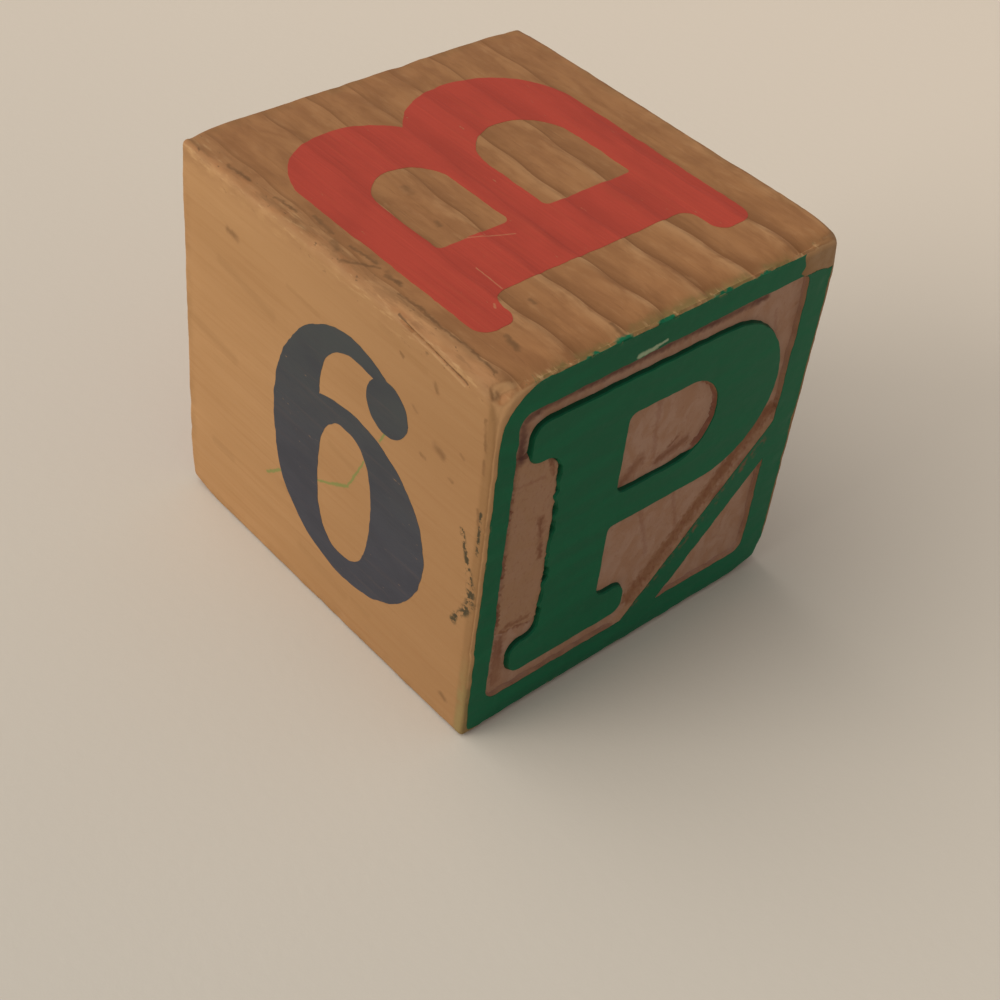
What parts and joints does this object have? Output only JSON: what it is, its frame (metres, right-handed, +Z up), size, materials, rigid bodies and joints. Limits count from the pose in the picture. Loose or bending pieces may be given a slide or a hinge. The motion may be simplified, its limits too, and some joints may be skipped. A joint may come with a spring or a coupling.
{
  "type": "alphabet block",
  "caption": "Worn wooden toy block that rests on any side, with raised, painted letters on its end-grain sides and flat printed letters, a number and a star on the others.",
  "frame": {"origin": "middle of the bottom face, on the surface that the block stands on", "axes": "+Z up through the printed B, +X along the grain and out of the end with the raised P, -Y out of the side with the printed 6"},
  "size_m": [0.0484, 0.0444, 0.0444],
  "materials": {
    "wood": "bare softwood, smooth and dry, darkened and polished by handling",
    "red_ink": "matte printing ink with the grain showing through",
    "blue_ink": "matte blue-grey printing ink with the grain showing through",
    "green_ink": "matte printing ink with the grain showing through",
    "green_paint": "eggshell paint, worn through at the edges",
    "red_paint": "eggshell paint, worn through at the edges"
  },
  "bodies": {
    "root": {"wood_block": "wood", "red_letter_b": "red_ink", "blue_numeral_6": "blue_ink", "green_frame": "green_paint", "green_letter_p": "green_paint", "red_frame": "red_paint", "red_letter_l": "red_paint", "blue_letter_d": "blue_ink", "green_star": "green_ink"}
  },
  "joints": []
}
